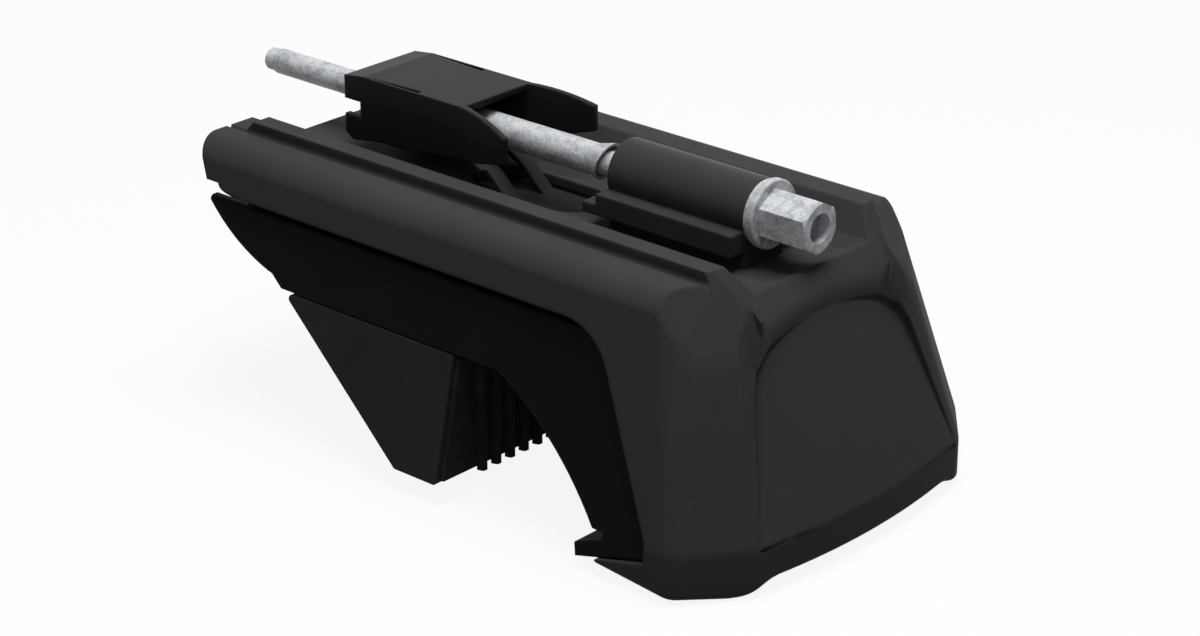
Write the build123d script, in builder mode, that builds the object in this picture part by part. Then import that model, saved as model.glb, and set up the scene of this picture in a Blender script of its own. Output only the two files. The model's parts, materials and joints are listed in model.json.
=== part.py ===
import os
from math import cos, radians, tan

from build123d import *

os.makedirs("parts", exist_ok=True)

# Millimetres. The origin is the middle of the rail seat, +X runs along the crossbar to the outer
# end of the foot, +Y runs along the roof rail, +Z is up.

# cuts and blanks run this far past the faces they make
over = 1.0
beyond = 30.0

# heights above the rail seat
rod_z = 45.0
deck_top = 41.0
shoulder_z = 38.0
floor_z = 30.2
band_z = 23.4
crease_z = -30.6
base_z = -44.2

# the flared sides: half width at the height of the rail seat, and their draft
side_half = 59.3
side_draft = 12.2

# outer casing
wall = 3.0
deck_thickness = 3.2
nose_wall = 7.0
inner_end_x = -120.0
end_rake = 0.5
end_notch_x = -109.0
end_notch_z = 26.2
end_lobe = 7.0
ridge_start_x = -113.0
ridge_lead = 4.0
brow_z = 38.5
brow_slope = 50.7
rim_slope = 20.0
base_slope = 5.1
base_round = 2.5
front_arch = 4.0
front_arch_knee = 36.0
front_arch_foot = 52.0
ridge_inset = 21.8
ridge_width = 6.5
ridge_foot = 5.5
ridge_apron = 4.5
ridge_outer_y = side_half - ridge_inset
ridge_inner_y = ridge_outer_y - ridge_width
ridge_foot_y = ridge_inner_y - ridge_foot
floor_half = ridge_foot_y - ridge_apron
groove_width = 2.0
groove_y = ridge_outer_y + groove_width
groove_depth = 1.2
shoulder_radius = 9.0
opening_x0 = -50.0
opening_x1 = -2.0
opening_half = 10.5

# nose: its plan at the crease, the draft above it and the facets of its upper corners
nose_front_x = 99.9
nose_corner_run = 4.3
nose_corner_inset = 18.5
nose_edge_run = 19.0
nose_flare = 6.6
nose_corner_x = nose_front_x - nose_corner_run
nose_edge_x = nose_front_x - nose_edge_run
nose_edge_y = side_half + nose_flare
nose_corner_y = nose_edge_y - nose_corner_inset
brow_run = 27.9
brow_x = nose_front_x - brow_run
nose_draft = 17.5
nose_edge_round = 6.0
nose_corner_round = 12.0
crease_round = 10.0
facet_runs = (18.0, 32.3, 27.9)
facet_insets = (18.1, 5.8, 22.3)
facet_heights = (15.6, 27.0, 36.0)

# scooped panel on the nose, measured up its slope from the crease
panel_draft = 20.6
panel_top = 55.7
panel_corner = (25.0, 52.3)
panel_shoulder = (32.5, 47.4)
panel_knee = (35.2, 41.2)
panel_foot_inset = 2.4
panel_foot = (nose_corner_y - panel_foot_inset, 0.5)
scoop_depth = 4.0
scoop_top = 67.0
scoop_corner = (27.5, 63.8)
scoop_shoulder = (36.0, 59.8)
scoop_knee = (39.6, 49.4)
scoop_foot = (nose_corner_y, 0.0)

# window in each side of the casing, which shows the core
window_x = 44.7
window_angle = 62.5
window_radius = 20.0
window_foot_x = 72.0
window_foot_z = -35.5
window_heel = 18.0
lip_slope = 14.0

# core: tip, arch and hook
seam = 0.3
core_recess = 3.2
pocket_wall = 4.0
core_tip_x = -114.8
core_tip_z = 19.0
core_rim_z = 20.4
core_rim_round = 1.5
core_groove = 2.6
core_wing_x = -101.0
core_wing_z = 6.0
core_tip_sag = 2.0
tip_round = 1.2
core_heel = (-84.7, 3.7)
core_heel_run = 4.5
ceiling_z = 0.4
seat_half_x = 6.5
seat_half_y = 50.0
seat_pad = 1.6
arch_start_x = 8.5
arch_end = (50.8, -32.3)
arch_sag = 3.3
hook_root = (54.8, -34.6)
hook_slot = 2.1
hook_tip = (45.3, -38.0)
toe_bevel = 1.0
hook_pad_thickness = 1.0
hook_pad_half = 55.0
platform_half = ridge_outer_y - pocket_wall
platform_x0 = -101.0
platform_x1 = 42.0
pocket_floor_z = 9.0
pocket_x0 = -84.8
pocket_length = 26.0
pocket_pitch = 32.0
pocket_count = 4

# clamp travel, towards the hook and away from it
travel_in = 12.0
travel_out = 8.0
slide_gap = 0.3

# sliding jaw
jaw_face_x = -8.4
jaw_base_z = -38.6
jaw_toe = 17.0
jaw_wall = 4.0
jaw_rib = 3.0
jaw_rib_pitch = 24.0
jaw_back_slope = 35.5
neck_x0 = -62.0
neck_x1 = -32.0
neck_half = 9.0
plate_x0 = -72.0
plate_x1 = 6.0
plate_half = 12.5
plate_thickness = 3.0
strip_thickness = 0.8
strip_width = 3.0
strip_inset = 1.0
arm_inner_y = 5.4
arm_thickness = 4.0
arm_root_x = -22.0
arm_root_width = 8.0
arm_bend_x = -47.0
arm_fall = 0.4
arm_crest = (12.0, 2.8)
arm_shin = (6.4, 2.2)
arm_belly = (12.6, 5.4)
arm_pit = (4.0, 2.0)
eye_x = -75.0
eye_z = 38.2
eye_radius = 3.4
pin_radius = 1.75

# ribbed pad on the jaw
pad_base = 1.8
pad_rib_height = 1.9
pad_rib_width = 3.2
pad_rib_pitch = 5.9
pad_rib_angle = 70.0
pad_border = 7.0
pad_inset = 1.2

# clamp bolt
rod_radius = 4.0
rod_tip_x = -142.4
tip_length = 5.0
tip_radius = 3.5
tip_bevel = 1.0
flange_x = 60.0
flange_thickness = 2.6
flange_radius = 10.2
flange_bevel = 0.4
hex_end_x = 78.6
hex_flats = 14.0
hex_turn = 32.0
hex_chamfer = 0.9
recess_radius = 4.4
recess_depth = 5.0
fit = 0.05
free_bore = 0.4

# spacer sleeve
sleeve_radius = 4.8
sleeve_x0 = -54.0
sleeve_x1 = 3.0
bell_radius = 6.4
bell_length = 6.5
bell_cut = 18.0
sleeve_pin_x = -49.0
sleeve_pin_radius = 1.0

# guide block
block_x0 = 9.0
block_tongue_x = 4.0
block_radius = 9.6
block_shelf_z = 41.6
tier_half = 14.7
tier_under_z = 35.2
tongue_top_z = 38.3
block_base_half = 8.5
bush_radius = 5.5
ring_seat_radius = 6.8
ring_seat_depth = 2.2
ring_radius = 6.2
ring_thickness = 1.0
ring_groove = 0.8
washer_thickness = 1.0
screw_radius = 2.5
screw_head_radius = 4.4
screw_head_height = 3.0
block_screw_x = 36.0
block_screw_pitch = 16.0
block_screw_end = 37.2
core_screw_x0 = -92.0
core_screw_x1 = 32.0
core_screw_y = platform_half - pocket_wall
core_screw_end = 34.0
core_head_z = 16.0

# carrier bracket, folded from one sheet
sheet = 2.0
bracket_half = 15.2
bracket_top = 55.5
bracket_dip = 1.0
bracket_x0 = -92.8
bracket_bend_x = -84.8
bracket_x1 = -43.2
wing_x1 = -21.4
wing_half = 20.5
wing_top = 52.1
wing_bottom = 44.3
wing_root_x = -36.0
wing_root_z = 40.3
notch_x = -86.2
notch_top = 47.2
notch_bottom = 42.3
tab_z = 34.4
tab_bevel = (3.0, 2.0)
skirt_z = 36.5
skirt_run = 8.0
slit_x1 = -62.0
slit_width = 1.6
slit_margin = 0.7

# nut block and nut
nut_block_x0 = -86.0
nut_block_x1 = -70.0
nut_block_top = 52.2
nut_block_bottom = 35.0
nut_flats = 13.0
nut_height = 6.5


def side_y(z, inset=0.0):
    """Half width of the flared body at a height, less a wall measured square to its side."""
    return side_half - z * tan(radians(side_draft)) - inset / cos(radians(side_draft))


def nose_plan(inset=0.0):
    """Plan of the nose at its crease, carried back past the inner end of the body."""
    reach = 1.5 * nose_edge_y
    chamfer_run = (nose_corner_x - nose_edge_x) / (nose_edge_y - nose_corner_y)
    reach_x = nose_corner_x - (reach - nose_corner_y) * chamfer_run
    back_x = inner_end_x - beyond
    with BuildSketch(mode=Mode.PRIVATE) as plan:
        with BuildLine():
            left = (nose_corner_x, -nose_corner_y)
            right = (nose_corner_x, nose_corner_y)
            ThreePointArc(left, (nose_front_x, 0), right)
            Polyline(right, (reach_x, reach), (back_x, reach), (back_x, -reach), (reach_x, -reach), left)
        make_face()
        if inset:
            offset(amount=-inset, kind=Kind.INTERSECTION)
    return plan.sketch


def flared_section(inset, low, high):
    """Cross-section between the flared sides, from one height to another."""
    with BuildSketch(mode=Mode.PRIVATE) as section:
        with BuildLine():
            Polyline((0, low), (side_y(low, inset), low), (side_y(high, inset), high), (0, high))
            mirror(about=Plane.YZ)
        make_face()
    return section.sketch


def arched_outline(top, corner, shoulder, knee, foot):
    """Outline of the scoop: feet, knees, shoulders and corners, joined over the top by an arc."""
    with BuildSketch(mode=Mode.PRIVATE) as outline:
        with BuildLine():
            Line((0, foot[1]), foot)
            Polyline(foot, knee, shoulder, corner)
            ThreePointArc(corner, (0, top), (-corner[0], corner[1]))
            Polyline((-corner[0], corner[1]), (-shoulder[0], shoulder[1]), (-knee[0], knee[1]))
            Polyline((-knee[0], knee[1]), (-foot[0], foot[1]), (0, foot[1]))
        make_face()
    return outline.sketch


def body_plan(z):
    """Plan of the casing's outer form at a height, with its nose's upright edges rounded."""
    with BuildSketch(mode=Mode.PRIVATE) as plan:
        add(nose_plan((z - crease_z) * tan(radians(nose_draft))))
        Rectangle(2 * casing_length, 2 * side_y(z), mode=Mode.INTERSECT)
        fillet(vertices().filter_by(lambda v: v.X > 0).sort_by(lambda v: abs(v.Y))[2:], nose_edge_round)
        fillet(vertices().filter_by(lambda v: v.X > 0).sort_by(lambda v: abs(v.Y))[:2], nose_corner_round)
    return plan.sketch


# Lines that the casing and the core share, drawn from the side
window_run = 1 / tan(radians(window_angle))
lip_fall = tan(radians(lip_slope))
end_plane = Plane(origin=(inner_end_x, 0, 0), x_dir=(0, 1, 0), z_dir=(1, 0, 0))
core_plane = Plane(origin=(core_tip_x, 0, 0), x_dir=(0, 1, 0), z_dir=(1, 0, 0))
casing_length = nose_front_x + beyond - inner_end_x


def lip_z(x, inset=0.0):
    """Height of the lower edge of the window."""
    return window_foot_z - (window_foot_x - x) * lip_fall + inset


def base_level(x):
    """Height of the casing's lower edge along its sides."""
    return base_z + (nose_edge_x - x) * tan(radians(base_slope))


def toe_z(x):
    """Height of the top of the hook's toe."""
    return hook_tip[1] + (x - hook_tip[0]) * (hook_root[1] - hook_tip[1]) / (hook_root[0] - hook_tip[0])


# The slope of the lower edge, and where the shoulders' rounding starts and ends
base_fall = tan(radians(base_slope))
form_top = deck_top + beyond
shoulder_run = shoulder_radius * tan(radians((90 - side_draft) / 2))
shoulder_in_y = side_y(shoulder_z) - shoulder_run
shoulder_foot_z = shoulder_z - shoulder_run * cos(radians(side_draft))

# Levels between the deck and the jaw, corners of the window, and the places of the screws and pockets
window_elbow_z = band_z - (window_foot_x - window_x) / window_run
window_heel_x = window_foot_x - window_heel
underside = floor_z - deck_thickness
plate_z = underside - 2 * slide_gap - plate_thickness
plate_top = plate_z + plate_thickness
recess_z = plate_z - strip_thickness
core_screw_z0 = core_head_z - screw_head_height
core_screw_places = [(x, y) for x in (core_screw_x0, core_screw_x1) for y in (-core_screw_y, core_screw_y)]
block_screw_places = [(block_screw_x + row * block_screw_pitch, 0) for row in range(2)]
pocket_places = [pocket_x0 + pocket_pitch * row for row in range(pocket_count)]

# The hollow inside the casing, open below and at the inner end
with BuildPart() as hollow_form:
    with BuildSketch(Plane.XY.offset(crease_z)):
        add(nose_plan(nose_wall))
    extrude(amount=form_top - crease_z, taper=nose_draft)
    with BuildSketch(Plane(origin=(0, 0, crease_z), x_dir=(1, 0, 0), z_dir=(0, 0, -1))):
        add(nose_plan(nose_wall))
    extrude(amount=crease_z - base_z - 2 * wall)

with BuildPart() as hollow:
    with BuildSketch(end_plane):
        ceiling = floor_z - deck_thickness
        upper = shoulder_z - wall
        with BuildLine():
            Polyline(
                (0, base_z), (side_y(crease_z, wall), base_z), (side_y(crease_z, wall), crease_z),
                (side_y(upper - wall, wall), upper - wall),
                (side_y(upper - wall, wall) - wall, upper), (ridge_outer_y, upper),
                (platform_half + seam, ceiling), (0, ceiling),
            )
            mirror(about=Plane.YZ)
        make_face()
    extrude(amount=casing_length)
    add(hollow_form.part, mode=Mode.INTERSECT)

# The panel at the back of the scoop has its own, steeper slope
with BuildPart() as panel_form:
    with BuildSketch(Plane.XY.offset(crease_z)):
        add(nose_plan())
    extrude(amount=form_top - crease_z, taper=panel_draft)

panel_plane = Plane(
    origin=(nose_front_x, 0, crease_z),
    x_dir=(0, 1, 0),
    z_dir=(cos(radians(panel_draft)), 0, cos(radians(90 - panel_draft))),
)
with BuildPart() as scoop:
    with BuildSketch(panel_plane):
        add(arched_outline(panel_top, panel_corner, panel_shoulder, panel_knee, panel_foot))
    with BuildSketch(panel_plane.offset(scoop_depth)):
        add(arched_outline(scoop_top, scoop_corner, scoop_shoulder, scoop_knee, scoop_foot))
    loft(ruled=True)
    with BuildSketch(panel_plane.offset(scoop_depth)):
        add(arched_outline(scoop_top, scoop_corner, scoop_shoulder, scoop_knee, scoop_foot))
    extrude(amount=beyond)
    with BuildSketch(panel_plane):
        add(arched_outline(panel_top, panel_corner, panel_shoulder, panel_knee, panel_foot))
    extrude(amount=-2 * scoop_depth)
    add(panel_form.part, mode=Mode.SUBTRACT)

# Outer form of the casing: drafted above its crease and upright below it, with rounded edges
with BuildPart() as upper_form:
    with BuildSketch(Plane.XY.offset(crease_z)):
        add(body_plan(crease_z))
    with BuildSketch(Plane.XY.offset(form_top)):
        add(body_plan(form_top))
    loft(ruled=True)

with BuildPart() as housing:
    add(upper_form.part)
    with BuildSketch(Plane.XY.offset(base_z - beyond)):
        add(body_plan(crease_z))
    extrude(amount=crease_z - base_z + beyond)
    split(bisect_by=Plane(origin=(inner_end_x, 0, 0), z_dir=(1, 0, 0)), keep=Keep.TOP)
    split(bisect_by=Plane(origin=(inner_end_x, 0, shoulder_z), z_dir=(1, 0, end_rake)), keep=Keep.TOP)
    crease = edges().filter_by(lambda edge: abs(edge.center().Z - crease_z) < fit)
    fillet(crease.filter_by(lambda edge: edge.center().X > inner_end_x + over), crease_round)
    # lower edge: it slopes along the sides and is arched across the front
    with BuildSketch(end_plane):
        with BuildLine():
            level = base_level(inner_end_x)
            foot = (front_arch_foot, level)
            knee = (front_arch_knee, level + front_arch)
            Line((0, knee[1]), knee)
            Spline(knee, foot, tangents=((1, 0), (1, 0)))
            Polyline(foot, (2 * side_half, level), (2 * side_half, level - 2 * beyond), (0, level - 2 * beyond))
            mirror(about=Plane.YZ)
        make_face()
    extrude(amount=casing_length, dir=(1, 0, -base_fall), mode=Mode.SUBTRACT)
    low = edges().filter_by(lambda edge: edge.center().Z < base_level(edge.center().X) + front_arch + fit)
    rim = low.filter_by(lambda edge: edge.bounding_box().size.Y > fit or abs(edge.center().Y) > front_arch_foot + fit)
    fillet(rim.filter_by(lambda edge: edge.center().X > inner_end_x + over), base_round)
    # what lies above the shoulders, the ridges, and the channel and grooves beside them
    with BuildSketch(end_plane):
        with BuildLine():
            Polyline(
                (0, floor_z), (floor_half, floor_z), (ridge_foot_y, floor_z + wall), (ridge_inner_y, deck_top),
                (ridge_outer_y, deck_top), (ridge_outer_y, shoulder_z),
                ((ridge_outer_y + groove_y) / 2, shoulder_z - groove_depth), (groove_y, shoulder_z),
                (shoulder_in_y, shoulder_z),
            )
            shoulder_foot = (side_y(shoulder_foot_z) + fit, shoulder_foot_z)
            TangentArc((shoulder_in_y, shoulder_z), shoulder_foot, tangent=(1, 0))
            clear_y = 2 * side_half
            Polyline(shoulder_foot, (clear_y, shoulder_foot_z), (clear_y, form_top + over), (0, form_top + over))
            mirror(about=Plane.YZ)
        make_face()
    extrude(amount=casing_length, mode=Mode.SUBTRACT)
    # brow, and the two facets that cut the upper corners of the nose
    split(bisect_by=Plane(origin=(brow_x, 0, brow_z), z_dir=(tan(radians(brow_slope)), 0, 1)), keep=Keep.BOTTOM)
    for side in (-1, 1):
        knee, upper_side, upper_top = (
            Vector(nose_front_x - run, side * (side_half - inset), z)
            for run, inset, z in zip(facet_runs, facet_insets, facet_heights)
        )
        facet_out = (upper_side - knee).cross(upper_top - knee) * side
        split(bisect_by=Plane(origin=knee, z_dir=facet_out), keep=Keep.BOTTOM)
    # the deck's channel runs on over the rim, falling towards the nose
    with BuildSketch(Plane(origin=(brow_x, 0, 0), x_dir=(0, 1, 0), z_dir=(1, 0, 0))):
        with BuildLine():
            Polyline(
                (0, floor_z), (floor_half, floor_z), (ridge_foot_y, floor_z + wall), (ridge_inner_y, deck_top),
                (ridge_inner_y, deck_top + beyond), (0, deck_top + beyond),
            )
            mirror(about=Plane.YZ)
        make_face()
    extrude(amount=beyond, dir=(1, 0, -tan(radians(rim_slope))), mode=Mode.SUBTRACT)
    add(scoop.part, mode=Mode.SUBTRACT)
    # the ridges start a little way in from the inner end
    with BuildSketch(Plane.XZ):
        with BuildLine():
            Polyline(
                (inner_end_x - over, shoulder_z), (ridge_start_x, shoulder_z),
                (ridge_start_x + ridge_lead, deck_top + over), (inner_end_x - over, deck_top + over), close=True,
            )
        make_face()
    extrude(amount=groove_y, both=True, mode=Mode.SUBTRACT)
    add(hollow.part, mode=Mode.SUBTRACT)
    # windows
    with BuildSketch(Plane.XZ):
        with BuildLine():
            Polyline(
                (end_notch_x + end_lobe, band_z), (window_x, band_z), (window_foot_x, window_elbow_z),
                (window_foot_x, window_foot_z), (window_heel_x, lip_z(window_heel_x)),
                (window_heel_x, base_z - over), (inner_end_x - over, base_z - over),
                (inner_end_x - over, end_notch_z), (end_notch_x, end_notch_z),
            )
            Spline(
                (end_notch_x, end_notch_z), (end_notch_x + end_lobe, band_z), tangents=((0.4, -1), (1, -0.2)),
            )
        make_face()
        fillet(vertices().sort_by_distance((window_x, 0, band_z))[0], window_radius)
    extrude(amount=2 * side_half, both=True, mode=Mode.SUBTRACT)
    # slot that the jaw's arms come up through
    with BuildSketch(Plane.XY.offset(deck_top)):
        with Locations(((opening_x0 + opening_x1) / 2, 0)):
            SlotOverall(opening_x1 - opening_x0, 2 * opening_half)
    extrude(amount=underside - deck_top - wall, mode=Mode.SUBTRACT)
    # screw holes, through the deck and up into the ridges
    with BuildSketch(Plane.XY.offset(deck_top)):
        with Locations(*block_screw_places):
            Circle(screw_radius + fit)
    extrude(amount=-deck_top, mode=Mode.SUBTRACT)
    with BuildSketch(Plane.XY.offset(core_head_z)):
        with Locations(*core_screw_places):
            Circle(screw_radius + fit)
    extrude(amount=core_screw_end + slide_gap - core_head_z, mode=Mode.SUBTRACT)

housing.part.label = "housing"
export_step(housing.part, "parts/housing.step")

# Pad let into the top of the hook's toe
with BuildPart() as hook_pad:
    with BuildSketch(Plane.XZ):
        near_x = hook_tip[0] + hook_pad_thickness
        far_x = hook_root[0] - hook_pad_thickness
        with BuildLine():
            Polyline(
                (near_x, toe_z(near_x)), (far_x, toe_z(far_x)), (far_x, toe_z(far_x) - hook_pad_thickness),
                (near_x, toe_z(near_x) - hook_pad_thickness), close=True,
            )
        make_face()
    extrude(amount=hook_pad_half, both=True)

hook_pad.part.label = "hook_pad"
export_step(hook_pad.part, "parts/hook_pad.step")

# Core: tip, ceiling, arch and hook in one outline, cut to the flared sides
with BuildPart() as core:
    with BuildSketch(Plane.XZ):
        top_z = band_z - seam
        edge_x = window_foot_x - seam
        toe_x = hook_tip[0] + toe_bevel
        with BuildLine():
            Polyline(
                (core_tip_x, core_tip_z), (core_tip_x, top_z), (window_x - seam, top_z),
                (edge_x, window_elbow_z), (edge_x, lip_z(edge_x, seam)), (toe_x, lip_z(toe_x, seam)),
                hook_tip, hook_root, (hook_root[0], hook_root[1] + hook_slot), arch_end,
            )
            SagittaArc(arch_end, (arch_start_x, ceiling_z), -arch_sag)
            Polyline((arch_start_x, ceiling_z), (core_heel[0] + core_heel_run, ceiling_z), core_heel)
            SagittaArc(core_heel, (core_tip_x, core_tip_z), core_tip_sag)
        make_face()
        fillet(vertices().sort_by_distance((window_x, 0, band_z))[0], window_radius - seam)
        fillet(vertices().group_by(Axis.X)[0], tip_round)
        fillet(vertices().group_by(Axis.X)[-1], tip_round)
        fillet(vertices().sort_by_distance((toe_x, 0, lip_z(toe_x, seam)))[0], tip_round)
    extrude(amount=2 * side_half, both=True)
    with BuildSketch(core_plane):
        add(flared_section(core_recess, base_z, band_z))
    extrude(amount=casing_length, mode=Mode.INTERSECT)
    # groove under the casing's bands, with a rounded rim below it, open behind the wings at the inner end
    with BuildSketch(core_plane):
        add(flared_section(core_recess - over, core_rim_z, band_z))
        add(flared_section(core_recess + core_groove, core_rim_z - over, band_z), mode=Mode.SUBTRACT)
    extrude(amount=window_x - core_tip_x, mode=Mode.SUBTRACT)
    rims = edges().filter_by(Axis.X).filter_by(lambda edge: abs(edge.center().Z - core_rim_z) < fit)
    fillet(rims.group_by(lambda edge: round(abs(edge.center().Y)))[-1], core_rim_round)
    with BuildSketch(core_plane):
        add(flared_section(core_recess + core_groove, core_wing_z, band_z))
    extrude(amount=core_wing_x - core_tip_x, mode=Mode.SUBTRACT)
    # platform under the deck
    with BuildSketch(Plane.XY.offset(core_head_z)):
        with Locations(((platform_x0 + platform_x1) / 2, 0)):
            Rectangle(platform_x1 - platform_x0, 2 * platform_half)
    extrude(amount=underside - core_head_z)
    # recess for the slide plate and slot for the jaw's neck
    with BuildSketch(Plane.XY.offset(recess_z)):
        with Locations(((plate_x0 - travel_out + plate_x1 + travel_in) / 2, 0)):
            Rectangle(plate_x1 - plate_x0 + travel_in + travel_out + 2 * slide_gap, 2 * (plate_half + slide_gap))
    extrude(amount=beyond, mode=Mode.SUBTRACT)
    with BuildSketch(Plane.XY.offset(ceiling_z - over)):
        with Locations(((neck_x0 - travel_out + neck_x1 + travel_in) / 2, 0)):
            Rectangle(neck_x1 - neck_x0 + travel_in + travel_out + 2 * slide_gap, 2 * (neck_half + slide_gap))
    extrude(amount=underside, mode=Mode.SUBTRACT)
    # seat groove for the rubber saddle
    with BuildSketch(Plane.XY):
        Rectangle(2 * seat_half_x, 2 * seat_half_y)
    extrude(amount=seat_pad, mode=Mode.SUBTRACT)
    add(hook_pad.part, mode=Mode.SUBTRACT)
    # screw holes and pockets for their heads
    with BuildSketch(Plane.XY.offset(hook_tip[1])):
        with Locations(*core_screw_places):
            Circle(screw_head_radius + slide_gap)
    extrude(amount=core_screw_z0 - hook_tip[1], mode=Mode.SUBTRACT)
    with BuildSketch(Plane.XY.offset(core_screw_z0)):
        with Locations(*core_screw_places):
            Circle(screw_head_radius + slide_gap)
    extrude(amount=screw_head_height, mode=Mode.SUBTRACT)
    with BuildSketch(Plane.XY.offset(core_head_z)):
        with Locations(*core_screw_places):
            Circle(screw_radius + fit)
    extrude(amount=underside - core_head_z, mode=Mode.SUBTRACT)
    with BuildSketch(Plane.XY.offset(underside)):
        with Locations(*block_screw_places):
            Circle(screw_head_radius + 2 * slide_gap)
    extrude(amount=-screw_head_height - slide_gap, mode=Mode.SUBTRACT)
    # weight-saving pockets beside the platform
    for side in (-1, 1):
        for pocket_x in pocket_places:
            with BuildSketch(Plane.XY.offset(pocket_floor_z)):
                with Locations((pocket_x, side * (platform_half + side_y(band_z, core_recess + pocket_wall)) / 2)):
                    Rectangle(pocket_length, side_y(band_z, core_recess + pocket_wall) - platform_half)
            extrude(amount=underside - pocket_floor_z, mode=Mode.SUBTRACT)

core.part.label = "core"
export_step(core.part, "parts/core.step")

with BuildPart() as saddle_pad:
    with BuildSketch(Plane.XY):
        Rectangle(2 * (seat_half_x - fit), 2 * (seat_half_y - fit))
    extrude(amount=seat_pad)
    fillet(edges().filter_by(Axis.Y).group_by(Axis.Z)[0], seat_pad / 4)

saddle_pad.part.label = "saddle_pad"
export_step(saddle_pad.part, "parts/saddle_pad.step")

# Jaw: ribbed wedge, neck, slide plate and the two arms that rise to the bracket
with BuildPart() as jaw_pocket:
    with BuildSketch(Plane.XZ):
        with BuildLine():
            Polyline(
                (jaw_face_x - jaw_wall, -jaw_wall), (inner_end_x, -jaw_wall), (inner_end_x, jaw_base_z - over),
                (jaw_face_x - jaw_wall, jaw_base_z - over), close=True,
            )
        make_face()
    extrude(amount=2 * side_half, both=True)
    with BuildSketch(end_plane):
        add(flared_section(core_recess + jaw_wall, jaw_base_z - over, 0))
    extrude(amount=casing_length, mode=Mode.INTERSECT)
    ribs_each_side = int(side_y(0, core_recess + jaw_wall) / jaw_rib_pitch)
    for row in range(-ribs_each_side, ribs_each_side + 1):
        with Locations((inner_end_x, row * jaw_rib_pitch, 0)):
            Box(2 * casing_length, jaw_rib, casing_length, mode=Mode.SUBTRACT)

with BuildPart() as arm_form:
    with BuildSketch(Plane.XZ):
        with BuildLine():
            arm_top = eye_z + eye_radius
            arm_low = eye_z - eye_radius
            root_back = (arm_root_x, plate_top)
            root_front = (arm_root_x - arm_root_width, plate_top)
            crest_start = (arm_bend_x, arm_top - arm_fall)
            pit = (arm_bend_x + arm_pit[0], arm_low + arm_pit[1])
            Polyline((eye_x, arm_low), (eye_x, arm_top), crest_start)
            Spline(
                crest_start, (arm_bend_x + arm_crest[0], arm_top - arm_crest[1]),
                (arm_root_x - arm_shin[0], arm_low - arm_shin[1]), root_back,
            )
            Polyline(root_back, (arm_root_x, plate_z), (root_front[0], plate_z), root_front)
            Spline(root_front, (arm_bend_x + arm_belly[0], arm_low - arm_belly[1]), pit)
            Line(pit, (eye_x, arm_low))
        make_face()
        with Locations((eye_x, eye_z)):
            Circle(eye_radius)
            Circle(pin_radius + fit, mode=Mode.SUBTRACT)
    extrude(amount=arm_inner_y + arm_thickness, both=True)
    with Locations((eye_x, 0, eye_z)):
        Box(2 * casing_length, 2 * arm_inner_y, casing_length, mode=Mode.SUBTRACT)

with BuildPart() as inner_jaw:
    with BuildSketch(Plane.XZ):
        back_run = 1 / tan(radians(jaw_back_slope))
        heel_x = jaw_face_x - jaw_toe
        with BuildLine():
            Polyline(
                (jaw_face_x, -slide_gap), (heel_x - (-slide_gap - jaw_base_z) * back_run, -slide_gap),
                (heel_x, jaw_base_z), (jaw_face_x, jaw_base_z), close=True,
            )
        make_face()
        fillet(vertices().group_by(Axis.Z)[0], tip_round)
    extrude(amount=2 * side_half, both=True)
    with BuildSketch(end_plane):
        add(flared_section(core_recess, jaw_base_z - over, 0))
    extrude(amount=casing_length, mode=Mode.INTERSECT)
    add(jaw_pocket.part, mode=Mode.SUBTRACT)
    with BuildSketch(Plane.XY.offset(-jaw_wall)):
        with Locations(((neck_x0 + neck_x1) / 2, 0)):
            Rectangle(neck_x1 - neck_x0, 2 * neck_half)
    extrude(amount=plate_z + jaw_wall)
    with BuildSketch(Plane.XY.offset(plate_z)):
        with Locations(((plate_x0 + plate_x1) / 2, 0)):
            Rectangle(plate_x1 - plate_x0, 2 * plate_half)
    extrude(amount=plate_thickness)
    add(arm_form.part)

inner_jaw.part.label = "inner_jaw"
export_step(inner_jaw.part, "parts/inner_jaw.step")

with BuildPart() as jaw_pad:
    pad_top = -slide_gap - pad_inset
    pad_low = jaw_base_z + pad_inset
    with BuildSketch(Plane(origin=(jaw_face_x, 0, 0), x_dir=(0, 1, 0), z_dir=(1, 0, 0))):
        add(flared_section(core_recess + pad_inset, pad_low, pad_top))
    extrude(amount=pad_base)
    ribs_each_side = int((side_y(pad_top, core_recess) - pad_border) / pad_rib_pitch)
    for row in range(-ribs_each_side, ribs_each_side + 1):
        with BuildSketch(Plane.XY.offset(pad_top - pad_inset)):
            with Locations((jaw_face_x + pad_base + pad_rib_height / 2, row * pad_rib_pitch)):
                Trapezoid(pad_rib_width, pad_rib_height, pad_rib_angle, rotation=-90)
        extrude(amount=jaw_base_z - pad_top + pad_inset)

jaw_pad.part.label = "jaw_pad"
export_step(jaw_pad.part, "parts/jaw_pad.step")

with BuildPart() as slide_strips:
    with BuildSketch(Plane.XY.offset(recess_z)):
        with Locations(
            ((plate_x0 + plate_x1) / 2, plate_half - strip_width / 2),
            ((plate_x0 + plate_x1) / 2, strip_width / 2 - plate_half),
        ):
            Rectangle(plate_x1 - plate_x0 - 2 * strip_inset, strip_width)
    extrude(amount=strip_thickness)

slide_strips.part.label = "slide_strips"
export_step(slide_strips.part, "parts/slide_strips.step")

# Clamp bolt: rod, flange and long hex head with a round recess
rod_axis = Axis((0, 0, rod_z), (1, 0, 0))
rod_plane = Plane(origin=(0, 0, rod_z), x_dir=(1, 0, 0), z_dir=(0, -1, 0))
ring_x = block_x0 + ring_seat_depth - slide_gap - ring_thickness
head_x = flange_x + flange_thickness


def across_rod(x):
    """Plane square to the rod, with its origin on the rod's axis."""
    return Plane(origin=(x, 0, rod_z), x_dir=(0, 1, 0), z_dir=(1, 0, 0))


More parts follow.
